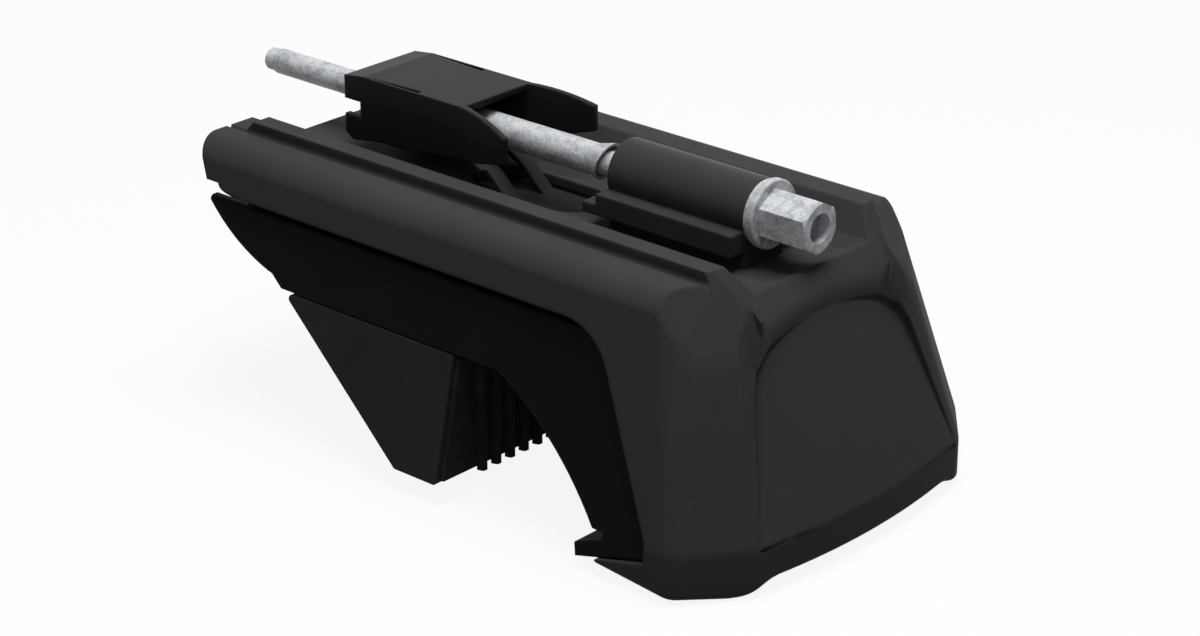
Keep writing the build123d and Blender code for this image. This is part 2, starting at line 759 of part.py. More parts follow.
with BuildPart() as hex_head:
    with BuildSketch(across_rod(head_x - over)):
        RegularPolygon(hex_flats / 2, 6, major_radius=False, rotation=hex_turn)
    extrude(amount=hex_end_x - head_x + over)
    with BuildSketch(rod_plane):
        with BuildLine():
            rim = hex_flats / 2 / cos(radians(30))
            Polyline(
                (head_x - over, 0), (hex_end_x, 0), (hex_end_x, rim - hex_chamfer),
                (hex_end_x - 2 * hex_chamfer, rim + hex_chamfer), (head_x - over, rim + hex_chamfer), close=True,
            )
        make_face()
    revolve(axis=rod_axis, mode=Mode.INTERSECT)

with BuildPart() as clamp_bolt:
    with BuildSketch(rod_plane):
        with BuildLine():
            groove_x0 = ring_x - fit
            groove_x1 = ring_x + ring_thickness + fit
            Polyline(
                (rod_tip_x, 0), (rod_tip_x, tip_radius - tip_bevel), (rod_tip_x + tip_bevel, tip_radius),
                (rod_tip_x + tip_length, tip_radius), (rod_tip_x + tip_length, rod_radius),
                (groove_x0, rod_radius), (groove_x0, rod_radius - ring_groove), (groove_x1, rod_radius - ring_groove),
                (groove_x1, rod_radius), (flange_x, rod_radius), (flange_x, flange_radius - flange_bevel),
                (flange_x + flange_bevel, flange_radius), (head_x - flange_bevel, flange_radius),
                (head_x, flange_radius - flange_bevel),
                (head_x, 0), close=True,
            )
        make_face()
    revolve(axis=rod_axis)
    add(hex_head.part)
    with BuildSketch(across_rod(hex_end_x)):
        Circle(recess_radius)
    extrude(amount=-recess_depth, mode=Mode.SUBTRACT)
    with BuildSketch(Plane.XZ):
        with Locations((sleeve_pin_x, rod_z)):
            Circle(sleeve_pin_radius + fit)
    extrude(amount=2 * rod_radius, both=True, mode=Mode.SUBTRACT)

clamp_bolt.part.label = "clamp_bolt"
export_step(clamp_bolt.part, "parts/clamp_bolt.step")

with BuildPart() as spacer_sleeve:
    with BuildSketch(rod_plane):
        with BuildLine():
            bore = rod_radius + fit
            bell_x = sleeve_x1 - bell_length
            tube_wall = sleeve_radius - bore
            Polyline(
                (sleeve_x0, bore), (sleeve_x0, sleeve_radius), (bell_x, sleeve_radius), (sleeve_x1, bell_radius),
                (sleeve_x1, bell_radius - tube_wall), (bell_x, bore), close=True,
            )
        make_face()
    revolve(axis=rod_axis)
    bell_lean = radians(bell_cut)
    bell_edge = Plane(origin=(sleeve_x1, 0, rod_z + bell_radius), z_dir=(1, 0, -tan(bell_lean)))
    split(bisect_by=bell_edge, keep=Keep.BOTTOM)
    with BuildSketch(Plane.XZ):
        with Locations((sleeve_pin_x, rod_z)):
            Circle(sleeve_pin_radius + fit)
    extrude(amount=2 * sleeve_radius, both=True, mode=Mode.SUBTRACT)

spacer_sleeve.part.label = "spacer_sleeve"
export_step(spacer_sleeve.part, "parts/spacer_sleeve.step")

with BuildPart() as sleeve_pin:
    with BuildSketch(Plane.XZ):
        with Locations((sleeve_pin_x, rod_z)):
            Circle(sleeve_pin_radius)
    extrude(amount=sleeve_radius - fit, both=True)

sleeve_pin.part.label = "sleeve_pin"
export_step(sleeve_pin.part, "parts/sleeve_pin.step")

# Guide block, and what turns and is held in it
with BuildPart() as guide_block:
    with BuildSketch(across_rod(block_x0)):
        Circle(block_radius)
        with Locations((0, (block_shelf_z + tier_under_z) / 2 - rod_z)):
            Rectangle(2 * tier_half, block_shelf_z - tier_under_z)
        with Locations((0, (tier_under_z + floor_z) / 2 - rod_z)):
            Rectangle(2 * block_base_half, tier_under_z - floor_z)
    extrude(amount=flange_x - washer_thickness - block_x0)
    with BuildSketch(Plane.XY.offset(tier_under_z)):
        with Locations(((block_tongue_x + block_x0 + over) / 2, 0)):
            Rectangle(block_x0 + over - block_tongue_x, 2 * tier_half)
    extrude(amount=tongue_top_z - tier_under_z)
    with BuildSketch(across_rod(block_x0)):
        Circle(ring_seat_radius)
    extrude(amount=ring_seat_depth, mode=Mode.SUBTRACT)
    with BuildSketch(across_rod(block_x0)):
        Circle(bush_radius + fit)
    extrude(amount=flange_x - block_x0, mode=Mode.SUBTRACT)
    with BuildSketch(Plane.XY.offset(floor_z)):
        with Locations(*block_screw_places):
            Circle(screw_radius + fit)
    extrude(amount=block_screw_end + slide_gap - floor_z, mode=Mode.SUBTRACT)

guide_block.part.label = "guide_block"
export_step(guide_block.part, "parts/guide_block.step")

with BuildPart() as rod_bush:
    with BuildSketch(across_rod(block_x0 + ring_seat_depth)):
        Circle(bush_radius)
        Circle(rod_radius + fit, mode=Mode.SUBTRACT)
    extrude(amount=flange_x - washer_thickness - block_x0 - ring_seat_depth)

rod_bush.part.label = "rod_bush"
export_step(rod_bush.part, "parts/rod_bush.step")

with BuildPart() as thrust_washer:
    with BuildSketch(across_rod(flange_x - washer_thickness)):
        Circle(block_radius)
        Circle(rod_radius + fit, mode=Mode.SUBTRACT)
    extrude(amount=washer_thickness)

thrust_washer.part.label = "thrust_washer"
export_step(thrust_washer.part, "parts/thrust_washer.step")

with BuildPart() as retaining_ring:
    with BuildSketch(across_rod(ring_x)):
        Circle(ring_radius)
        Circle(rod_radius - ring_groove + fit, mode=Mode.SUBTRACT)
        with Locations((0, ring_radius)):
            Rectangle(2 * ring_groove, 2 * ring_radius, mode=Mode.SUBTRACT)
    extrude(amount=ring_thickness)

retaining_ring.part.label = "retaining_ring"
export_step(retaining_ring.part, "parts/retaining_ring.step")

# Carrier bracket: two walls that flare into wings, under a top plate with a dipped inner end
with BuildPart() as carrier_bracket:
    with BuildSketch(Plane.XY.offset(tab_z)):
        with BuildLine():
            Polyline(
                (bracket_x0 - over, bracket_half - sheet), (bracket_x1, bracket_half - sheet),
                (wing_x1, wing_half - sheet), (wing_x1, wing_half), (bracket_x1, bracket_half),
                (bracket_x0 - over, bracket_half), close=True,
            )
        make_face()
        mirror(about=Plane.XZ)
    extrude(amount=bracket_top - tab_z)
    with BuildSketch(Plane.XZ):
        with BuildLine():
            dip_z = bracket_top - bracket_dip
            Polyline(
                (bracket_x0, notch_bottom), (notch_x, notch_bottom), (notch_x, notch_top), (bracket_x0, notch_top),
                (bracket_x0, dip_z), (bracket_bend_x, bracket_top), (bracket_x1, bracket_top),
            )
            TangentArc((bracket_x1, bracket_top), (wing_x1, wing_top), tangent=(1, 0))
            Polyline(
                (wing_x1, wing_top), (wing_x1, wing_bottom), (wing_root_x, wing_root_z),
                (eye_x + skirt_run, skirt_z), (eye_x, skirt_z), (bracket_x0 + tab_bevel[0], tab_z),
                (bracket_x0, tab_z + tab_bevel[1]), (bracket_x0, notch_bottom),
            )
        make_face()
    extrude(amount=2 * wing_half, both=True, mode=Mode.INTERSECT)
    with BuildSketch(Plane.XZ):
        with BuildLine():
            Polyline(
                (bracket_x0, dip_z), (bracket_bend_x, bracket_top), (bracket_x1, bracket_top),
                (bracket_x1, bracket_top - sheet), (bracket_bend_x, bracket_top - sheet), (bracket_x0, dip_z - sheet),
                close=True,
            )
        make_face()
    extrude(amount=bracket_half - sheet / 2, both=True)
    # tapered slits where the top plate is folded down
    for side in (-1, 1):
        with BuildSketch(Plane.XY.offset(bracket_top + over)):
            with BuildLine():
                slit_y = side * (bracket_half - slit_margin)
                Polyline(
                    (bracket_bend_x, slit_y), (slit_x1, slit_y), (slit_x1, slit_y - side * slit_width), close=True,
                )
            make_face()
        extrude(amount=-sheet - 2 * over, mode=Mode.SUBTRACT)

carrier_bracket.part.label = "carrier_bracket"
export_step(carrier_bracket.part, "parts/carrier_bracket.step")

with BuildPart() as nut_block:
    with BuildSketch(across_rod(nut_block_x0)):
        with Locations((0, (nut_block_top + nut_block_bottom) / 2 - rod_z)):
            Rectangle(2 * (bracket_half - sheet - slide_gap), nut_block_top - nut_block_bottom)
    extrude(amount=nut_block_x1 - nut_block_x0)
    with BuildSketch(across_rod(nut_block_x0)):
        RegularPolygon(nut_flats / 2 + fit, 6, major_radius=False)
    extrude(amount=nut_height, mode=Mode.SUBTRACT)
    with BuildSketch(across_rod(nut_block_x0)):
        Circle(rod_radius + free_bore)
    extrude(amount=nut_block_x1 - nut_block_x0, mode=Mode.SUBTRACT)
    # slots for the arms' eyes and the hole for their pin
    slot_x0 = eye_x - eye_radius - slide_gap
    slot_x1 = nut_block_x1 + over
    slot_top = eye_z + eye_radius + slide_gap
    for side in (-1, 1):
        with BuildSketch(Plane.XY.offset(slot_top)):
            with Locations(((slot_x0 + slot_x1) / 2, side * (arm_inner_y + arm_thickness / 2))):
                Rectangle(slot_x1 - slot_x0, arm_thickness + 2 * fit)
        extrude(amount=nut_block_bottom - over - slot_top, mode=Mode.SUBTRACT)
    with BuildSketch(Plane.XZ):
        with Locations((eye_x, eye_z)):
            Circle(pin_radius + fit)
    extrude(amount=2 * bracket_half, both=True, mode=Mode.SUBTRACT)

nut_block.part.label = "nut_block"
export_step(nut_block.part, "parts/nut_block.step")

with BuildPart() as clamp_nut:
    with BuildSketch(across_rod(nut_block_x0)):
        RegularPolygon(nut_flats / 2, 6, major_radius=False)
        Circle(rod_radius + fit, mode=Mode.SUBTRACT)
    extrude(amount=nut_height)

clamp_nut.part.label = "clamp_nut"
export_step(clamp_nut.part, "parts/clamp_nut.step")

with BuildPart() as jaw_pin:
    with BuildSketch(Plane.XZ):
        with Locations((eye_x, eye_z)):
            Circle(pin_radius)
    extrude(amount=bracket_half - sheet - fit, both=True)

jaw_pin.part.label = "jaw_pin"
export_step(jaw_pin.part, "parts/jaw_pin.step")

# Screws, from below: the guide block's into the block, the core's into the casing's ridges
with BuildPart() as block_screws:
    with BuildSketch(Plane.XY.offset(underside - screw_head_height)):
        with Locations(*block_screw_places):
            Circle(screw_head_radius)
    extrude(amount=screw_head_height)
    with BuildSketch(Plane.XY.offset(underside)):
        with Locations(*block_screw_places):
            Circle(screw_radius)
    extrude(amount=block_screw_end - underside)

block_screws.part.label = "block_screws"
export_step(block_screws.part, "parts/block_screws.step")

with BuildPart() as core_screws:
    with BuildSketch(Plane.XY.offset(core_screw_z0)):
        with Locations(*core_screw_places):
            Circle(screw_head_radius)
    extrude(amount=screw_head_height)
    with BuildSketch(Plane.XY.offset(core_head_z)):
        with Locations(*core_screw_places):
            Circle(screw_radius)
    extrude(amount=core_screw_end - core_head_z)

core_screws.part.label = "core_screws"
export_step(core_screws.part, "parts/core_screws.step")
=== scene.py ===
import math

import bmesh
import bpy
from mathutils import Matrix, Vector
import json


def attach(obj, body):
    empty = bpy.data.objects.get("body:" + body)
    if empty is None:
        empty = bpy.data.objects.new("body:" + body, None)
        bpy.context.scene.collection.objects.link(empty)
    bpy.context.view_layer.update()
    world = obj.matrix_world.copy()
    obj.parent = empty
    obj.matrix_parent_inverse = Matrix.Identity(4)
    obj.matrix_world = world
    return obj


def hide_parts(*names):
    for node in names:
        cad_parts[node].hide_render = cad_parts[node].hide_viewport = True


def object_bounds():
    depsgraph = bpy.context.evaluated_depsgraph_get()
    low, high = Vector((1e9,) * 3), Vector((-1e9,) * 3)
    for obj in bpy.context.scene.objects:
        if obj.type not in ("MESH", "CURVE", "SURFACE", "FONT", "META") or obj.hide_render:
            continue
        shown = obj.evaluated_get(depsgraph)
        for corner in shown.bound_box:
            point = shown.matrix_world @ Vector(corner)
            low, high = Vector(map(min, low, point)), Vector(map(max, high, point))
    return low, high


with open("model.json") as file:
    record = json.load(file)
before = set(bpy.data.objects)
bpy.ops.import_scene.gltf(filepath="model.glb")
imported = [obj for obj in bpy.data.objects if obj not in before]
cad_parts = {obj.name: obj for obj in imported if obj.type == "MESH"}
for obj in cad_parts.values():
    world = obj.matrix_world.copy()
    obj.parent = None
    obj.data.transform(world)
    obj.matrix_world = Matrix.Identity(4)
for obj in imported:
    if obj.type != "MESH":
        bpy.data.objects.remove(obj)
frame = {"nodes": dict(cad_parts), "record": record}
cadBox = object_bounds()
nodes = frame["nodes"]
white = (1, 1, 1, 1)


# shader maths

class Signal:  # one socket of a finish, so that maths on it reads as maths
    def __init__(self, finish, socket):
        self.finish = finish
        self.socket = socket

    def maths(self, operation, first, second):
        return self.finish.node("ShaderNodeMath", {"operation": operation}, {0: first, 1: second})

    def __add__(self, other):
        return self.maths("ADD", self, other)

    def __radd__(self, other):
        return self.maths("ADD", other, self)

    def __sub__(self, other):
        return self.maths("SUBTRACT", self, other)

    def __rsub__(self, other):
        return self.maths("SUBTRACT", other, self)

    def __mul__(self, other):
        return self.maths("MULTIPLY", self, other)

    def __rmul__(self, other):
        return self.maths("MULTIPLY", other, self)


class Finish:  # a material, or the world, built node by node
    def __init__(self, name, store=bpy.data.materials):
        self.owner = store.new(name)
        self.owner.use_nodes = True
        self.tree = self.owner.node_tree
        self.tree.nodes.clear()

    def node(self, kind, settings=None, sockets=None, out=0):
        item = self.tree.nodes.new(kind)
        for key, value in (settings or {}).items():
            if key == "stops":
                for stop in range(len(value) - 2):
                    item.color_ramp.elements.new(0.5)
                for element, (place, shade) in zip(item.color_ramp.elements, value):
                    element.position = place
                    element.color = grey(shade)
            else:
                setattr(item, key, value)
        for key, value in (sockets or {}).items():
            if isinstance(value, Signal):
                self.tree.links.new(value.socket, item.inputs[key])
            else:
                item.inputs[key].default_value = value
        return Signal(self, item.outputs[out]) if item.outputs else None

    def place(self, stretch=(1, 1, 1)):
        spot = self.node("ShaderNodeTexCoord", out="Object")
        return self.node("ShaderNodeMapping", sockets={"Vector": spot, "Scale": stretch})

    def noise(self, scale, detail, stretch=(1, 1, 1), roughness=0.5):
        spot = self.place(stretch)
        sockets = {"Vector": spot, "Scale": scale, "Detail": detail, "Roughness": roughness}
        return self.node("ShaderNodeTexNoise", None, sockets, "Fac")

    def ramp(self, value, *stops):
        return self.node("ShaderNodeValToRGB", {"stops": stops}, {"Fac": value}, "Color")

    def blend(self, share, first, second):
        return self.node("ShaderNodeMix", {"data_type": "RGBA"}, {0: share, 6: first, 7: second}, 2)

    def tint(self, cloud, look):  # the colour drifts from a darker to a paler shade
        shade = look["shade"]
        return self.blend(cloud, grey(shade * look["darker"]), grey(shade * look["paler"]))

    def relief(self, height, depth, edge=0.0):
        sockets = {"Height": height, "Distance": depth, "Strength": 1.0}
        if edge:  # a moulded or folded edge is never knife sharp
            sockets["Normal"] = self.node("ShaderNodeBevel", {"samples": 6}, {"Radius": edge})
        return self.node("ShaderNodeBump", None, sockets)

    def seen(self):  # 1 for the camera and for what mirrors or glass would show
        camera, mirror, glass = (self.node("ShaderNodeLightPath", out=key)
                                 for key in ("Is Camera Ray", "Is Glossy Ray", "Is Transmission Ray"))
        return camera + mirror + glass

    def close(self, **shader):
        names = {"colour": "Base Color", "roughness": "Roughness", "metallic": "Metallic",
                 "specular": "Specular IOR Level", "normal": "Normal", "coat": "Coat Weight",
                 "coatRoughness": "Coat Roughness"}
        sockets = {names[key]: value for key, value in shader.items()}
        body = self.node("ShaderNodeBsdfPrincipled", None, sockets)
        self.node("ShaderNodeOutputMaterial", None, {"Surface": body})
        return self.owner


def grey(shade, warmth=0.0):
    return (shade * (1 + warmth), shade, shade * (1 - warmth), 1)


# finishes: noise scales are in cells a metre, depths and edges in metres

casing = {"shade": 0.043, "darker": 0.86, "paler": 1.12, "roughness": 0.47, "specular": 0.014,
          "cloud": 38, "grain": 2600, "depth": 0.00004, "rub": 420, "rubShade": 2.2, "rubShare": 0.2,
          "edge": 0.0013, "crease": 12, "weld": 0.000005}


def casingPlastic():
    finish = Finish("casingPlastic")
    grain = finish.noise(casing["grain"], 3.0)
    cloud = finish.noise(casing["cloud"], 3.0)
    rub = finish.ramp(finish.noise(casing["rub"], 4.0, roughness=0.7), (0.62, 0.0), (0.75, 1.0))
    rubbed = grey(casing["shade"] * casing["rubShade"])
    return finish.close(
        colour=finish.blend(rub * casing["rubShare"], finish.tint(cloud, casing), rubbed),
        roughness=casing["roughness"] + 0.07 * cloud + 0.06 * grain, specular=casing["specular"],
        normal=finish.relief(grain, casing["depth"], casing["edge"]))


core = {"shade": 0.0065, "darker": 0.8, "paler": 1.25, "roughness": 0.4, "specular": 0.02,
        "cloud": 60, "pores": 3200, "depth": 0.00002, "edge": 0.0012}


def corePlastic():
    finish = Finish("corePlastic")
    cloud = finish.noise(core["cloud"], 4.0)
    pores = finish.noise(core["pores"], 2.0)
    return finish.close(
        colour=finish.tint(cloud, core), roughness=core["roughness"] + 0.08 * cloud,
        specular=core["specular"], normal=finish.relief(pores, core["depth"], core["edge"]))


jaw = {"shade": 0.026, "darker": 0.85, "paler": 1.2, "roughness": 0.46, "specular": 0.02,
       "cloud": 45, "grain": 2400, "depth": 0.00003, "edge": 0.0010}


def jawPlastic():
    finish = Finish("jawPlastic")
    cloud = finish.noise(jaw["cloud"], 4.0)
    grain = finish.noise(jaw["grain"], 3.0)
    return finish.close(
        colour=finish.tint(cloud, jaw), roughness=jaw["roughness"] + 0.07 * grain,
        specular=jaw["specular"], normal=finish.relief(grain, jaw["depth"], jaw["edge"]))


rubber = {"shade": 0.015, "roughness": 0.6, "specular": 0.02, "dust": 160, "dustShade": 1.7,
          "dustWarmth": 0.03, "grain": 1800, "depth": 0.00004, "edge": 0.0007}


def padRubber():
    finish = Finish("padRubber")
    dust = finish.ramp(finish.noise(rubber["dust"], 5.0, roughness=0.65), (0.45, 0.0), (0.7, 1.0))
    grain = finish.noise(rubber["grain"], 3.0)
    dusty = grey(rubber["shade"] * rubber["dustShade"], rubber["dustWarmth"])
    return finish.close(
        colour=finish.blend(dust, grey(rubber["shade"]), dusty),
        roughness=rubber["roughness"] + 0.12 * dust, specular=rubber["specular"],
        normal=finish.relief(grain, rubber["depth"], rubber["edge"]))


coat = {"shade": 0.0135, "darker": 0.85, "paler": 1.25, "roughness": 0.32, "specular": 0.04,
        "cloud": 50, "ripple": 700, "depth": 0.000025, "edge": 0.0011, "clear": 0.01,
        "clearRoughness": 0.3}
block = {**coat, "shade": 0.034, "roughness": 0.36}


def blackCoat(name, look):
    finish = Finish(name)
    ripple = finish.noise(look["ripple"], 2.0)
    cloud = finish.noise(look["cloud"], 3.0)
    return finish.close(
        colour=finish.tint(cloud, look), roughness=look["roughness"] + 0.06 * cloud,
        specular=look["specular"], coat=look["clear"], coatRoughness=look["clearRoughness"],
        normal=finish.relief(ripple, look["depth"], look["edge"]))


zinc = {"light": (0.57, 0.585, 0.61, 1), "dark": (0.33, 0.345, 0.37, 1), "roughness": 0.58,
        "polish": 0.2, "metallic": 0.1, "specular": 0.2, "wander": 210, "spangle": 420, "pits": 900,
        "depth": 0.00022, "edge": 0.0005}


def galvanised():
    finish = Finish("galvanised")
    wander = finish.node(
        "ShaderNodeTexNoise", None,
        {"Vector": finish.place(), "Scale": zinc["wander"], "Detail": 4.0, "Distortion": 1.4}, "Fac")
    cells = finish.node(
        "ShaderNodeTexVoronoi", {"feature": "F1"},
        {"Vector": finish.place((0.7, 1, 1)), "Scale": zinc["spangle"]}, "Color")
    cellShade = finish.node("ShaderNodeSeparateColor", None, {"Color": cells})
    pits = finish.ramp(finish.noise(zinc["pits"], 5.0, roughness=0.7), (0.4, 0.0), (0.62, 1.0))
    tone = 0.62 * wander + 0.22 * cellShade + 0.16 * pits
    share = finish.ramp(tone, (0.32, 0.0), (0.62, 1.0))
    height = 0.7 * wander + 0.3 * pits
    return finish.close(
        colour=finish.blend(share, zinc["dark"], zinc["light"]),
        roughness=zinc["roughness"] - zinc["polish"] * share, metallic=zinc["metallic"],
        specular=zinc["specular"], normal=finish.relief(height, zinc["depth"], zinc["edge"]))


bright = {"light": (0.56, 0.57, 0.58, 1), "dark": (0.42, 0.43, 0.44, 1), "roughness": 0.32,
          "lines": 900, "depth": 0.00002}


def brightSteel():
    finish = Finish("brightSteel")
    lines = finish.noise(bright["lines"], 3.0, (0.1, 1, 1))
    return finish.close(
        colour=finish.blend(lines, bright["dark"], bright["light"]),
        roughness=bright["roughness"] + 0.1 * lines, metallic=1.0,
        normal=finish.relief(lines, bright["depth"]))


glide = {"shade": 0.52, "darker": 0.9, "warmth": 0.02, "roughness": 0.5, "haze": 300, "depth": 0.00002}


def glidePlastic():
    finish = Finish("glidePlastic")
    haze = finish.noise(glide["haze"], 3.0)
    dull = grey(glide["shade"] * glide["darker"], glide["warmth"])
    return finish.close(
        colour=finish.blend(haze, dull, grey(glide["shade"], glide["warmth"])),
        roughness=glide["roughness"] + 0.05 * haze, normal=finish.relief(haze, glide["depth"]))


finishes = {
    "casing": casingPlastic(), "core_plastic": corePlastic(), "jaw_plastic": jawPlastic(),
    "rubber": padRubber(), "slide_plastic": glidePlastic(), "zinc": galvanised(),
    "steel": brightSteel(), "block_steel": blackCoat("blockCoat", block),
    "black_steel": blackCoat("blackCoat", coat),
}
slotOf = {part["node"]: part["material_slot"] for part in frame["record"]["subparts"]}
print("finishes:", len(finishes))


def dress(mesh, slot):
    mesh.materials.clear()
    mesh.materials.append(finishes[slot])


# every CAD piece takes the finish of its slot

for name, piece in nodes.items():
    dress(piece.data, slotOf[name])
print("frame pieces:", len(nodes))


def linked(name, data):  # a new object in the scene
    item = bpy.data.objects.new(name, data)
    bpy.context.scene.collection.objects.link(item)
    return item


def newPiece(name, mesh, body, slot, replaced):
    piece = linked(name, mesh)
    dress(mesh, slot)
    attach(piece, body)
    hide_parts(replaced)


def solid(name, corners, faces):
    mesh = bpy.data.meshes.new(name)
    mesh.from_pydata(corners, [], faces)
    shape = bmesh.new()
    shape.from_mesh(mesh)
    bmesh.ops.recalc_face_normals(shape, faces=shape.faces)
    shape.to_mesh(mesh)
    shape.free()
    return mesh


def skin(rings):  # closed skin over rings of equally many points
    count = len(rings[0])
    corners = [point for ring in rings for point in ring]
    last = len(corners) - count
    faces = []
    for start in range(0, last, count):
        for i in range(count):
            ahead = (i + 1) % count
            faces.append((start + i, start + ahead, start + count + ahead, start + count + i))
    faces.append(tuple(reversed(range(count))))
    faces.append(tuple(range(last, len(corners))))
    return corners, faces


def joined(mesh, extras):  # the extra meshes become loose parts of this one
    shape = bmesh.new()
    for source in (mesh, *extras):
        shape.from_mesh(source)
    shape.to_mesh(mesh)
    shape.free()


def blank(mesh):  # a helper object that modifiers work on
    return linked(mesh.name + "Blank", mesh)


def finishedMesh(item, name, used=()):  # the modifiers' result as a plain mesh
    mesh = bpy.data.meshes.new_from_object(item.evaluated_get(bpy.context.evaluated_depsgraph_get()))
    mesh.name = name
    for extra in (item, *used):
        bpy.data.objects.remove(extra)
    return mesh


def carve(item, tool, operation="DIFFERENCE"):
    cut = item.modifiers.new("carve", "BOOLEAN")
    cut.operation = operation
    cut.solver = "EXACT"
    cut.object = tool


def soften(item, width, turn):
    bevel = item.modifiers.new("soften", "BEVEL")
    bevel.width = width
    bevel.segments = 2
    bevel.limit_method = "ANGLE"
    bevel.angle_limit = math.radians(turn)


# casing: the deck gets its low lip above the nose, which the scoop cuts into

rim = {"halfWidth": 0.0283, "height": 0.0331, "floor": 0.0302, "rampStart": 0.0655, "rampSteps": 8,
       "low": 0.0222, "toeX": 0.0765, "heelX": 0.0745, "sunk": 0.003, "proud": 0.00001,
       "browX": 0.0720, "browZ": 0.0385, "browSlope": 50.7}
channel = {"floorHalf": 0.0210, "footHalf": 0.0255, "footZ": 0.0332, "topHalf": 0.0292, "topZ": 0.0384,
           "outHalf": 0.0305, "start": 0.0700, "lowStart": 0.0765}
scoop = {"frontX": 0.0999, "creaseZ": -0.0306, "draft": 20.6, "base": -0.00004, "depth": 0.004,
         "reach": 0.03, "steps": 28,
         "inner": ((0.0452, 0.0005), (0.0354, 0.0413), (0.0327, 0.0476), (0.0252, 0.0526), 0.0560),
         "outer": ((0.0475, 0.0), (0.0399, 0.0495), (0.0363, 0.0601), (0.0277, 0.0642), 0.0674)}
sill = {"half": 0.0455, "cornerX": 0.0956, "cornerY": 0.0474, "rise": 0.004, "drop": 0.0004,
        "under": 0.00009, "thick": 0.003, "steps": 40}


def browX(z):  # where the sloping brow is at a height
    return rim["browX"] + (rim["browZ"] - z) / math.tan(math.radians(rim["browSlope"])) + rim["proud"]


def scoopRing(foot, knee, shoulder, corner, top, out):  # the scoop's outline, this far off the panel
    side = [foot, knee, shoulder]
    rise = top - corner[1]
    radius = (corner[0] ** 2 + rise ** 2) / (2 * rise)
    half = math.asin(corner[0] / radius)
    arc = []
    for step in range(scoop["steps"] + 1):
        turn = half - 2 * half * step / scoop["steps"]
        arc.append((radius * math.sin(turn), top - radius + radius * math.cos(turn)))
    outline = side + arc + [(-y, up) for y, up in reversed(side)]
    lean = math.radians(scoop["draft"])
    return [(scoop["frontX"] - up * math.sin(lean) + out * math.cos(lean), y,
             scoop["creaseZ"] + up * math.cos(lean) + out * math.sin(lean)) for y, up in outline]


def deckRim():  # the lip across the deck's end, and the channel's flanks beside it
    start, floor, low = rim["rampStart"], rim["floor"], rim["low"]
    outline = [(start, floor - rim["sunk"]), (start, floor)]
    for step in range(1, rim["rampSteps"] + 1):
        share = step / rim["rampSteps"]
        outline.append((start + (browX(rim["height"]) - start) * share,
                        floor + (rim["height"] - floor) * share ** 2))
    outline += [(browX(low), low), (rim["toeX"], low), (rim["heelX"], floor - rim["sunk"])]
    ends = [[(x, y, z) for x, z in outline] for y in (-rim["halfWidth"], rim["halfWidth"])]
    meshes = [solid("lip", *skin(ends))]
    section = [(channel["floorHalf"], floor), (channel["footHalf"], channel["footZ"]),
               (channel["topHalf"], channel["topZ"]), (channel["outHalf"], channel["topZ"]),
               (rim["halfWidth"], low), (channel["floorHalf"], low)]
    for side in (-1, 1):
        near = [(channel["start"] if z > low else channel["lowStart"], side * y, z) for y, z in section]
        far = [(browX(z), side * y, z) for y, z in section]
        meshes.append(solid("flank", *skin([near, far])))
    return meshes


def panelSill():  # closes the fine step where the panel meets the crease
    sag = scoop["frontX"] - sill["cornerX"]
    radius = (sill["cornerY"] ** 2 + sag ** 2) / (2 * sag)
    back = sill["rise"] * math.tan(math.radians(scoop["draft"]))
    high, low = scoop["creaseZ"] + sill["rise"], scoop["creaseZ"] - sill["drop"]
    thick = sill["thick"]
    rings = []
    for step in range(sill["steps"] + 1):
        y = -sill["half"] + 2 * sill["half"] * step / sill["steps"]
        x = scoop["frontX"] - radius + math.sqrt(radius ** 2 - y ** 2) - sill["under"]
        rings.append([(x - back, y, high), (x, y, low),
                      (x - thick, y, low), (x - back - thick, y, high)])
    return solid("panelSill", *skin(rings))


def scoopTool():
    rings = [scoopRing(*scoop["inner"], scoop["base"]), scoopRing(*scoop["outer"], scoop["depth"]),
             scoopRing(*scoop["outer"], scoop["reach"])]
    return solid("scoopTool", *skin(rings))


def addCasing():
    mesh = nodes["housing"].data.copy()
    shape = bmesh.new()
    shape.from_mesh(mesh)
    bmesh.ops.remove_doubles(shape, verts=shape.verts, dist=casing["weld"])
    shape.to_mesh(mesh)
    shape.free()
    whole = blank(mesh)
    added = [blank(extra) for extra in (*deckRim(), panelSill())]
    for tool in added:
        carve(whole, tool, "UNION")
    cutter = blank(scoopTool())
    carve(whole, cutter)
    shell = finishedMesh(whole, "casingShell", (*added, cutter))
    shell.shade_smooth()
    shell.set_sharp_from_angle(angle=math.radians(casing["crease"]))
    shaded = blank(shell)
    evenOut = shaded.modifiers.new("evenOut", "WEIGHTED_NORMAL")
    evenOut.keep_sharp = True  # wide faces stay flat beside their soft edges
    shell = finishedMesh(shaded, "casingShell")
    newPiece("casingShell", shell, "foot", "casing", "housing")
    print("casing faces:", len(shell.polygons))


addCasing()

# ribbed pad on the jaw, its ribs repeated by Geometry Nodes

pad = {"faceX": -0.0084, "base": 0.0018, "low": -0.0374, "high": -0.0015, "lowHalf": 0.0629,
       "highHalf": 0.0551, "edge": 0.0004, "edgeTurn": 30, "ribs": 17, "pitch": 0.0059,
       "ribWidth": 0.0030, "ribHeight": 0.0019, "ribTop": -0.0027, "ribFoot": -0.0386,
       "ribTaper": 0.29, "ribSunk": 0.0003, "crownDrop": 0.0006, "crownOut": 0.0003,
       "crownIn": 0.0002}


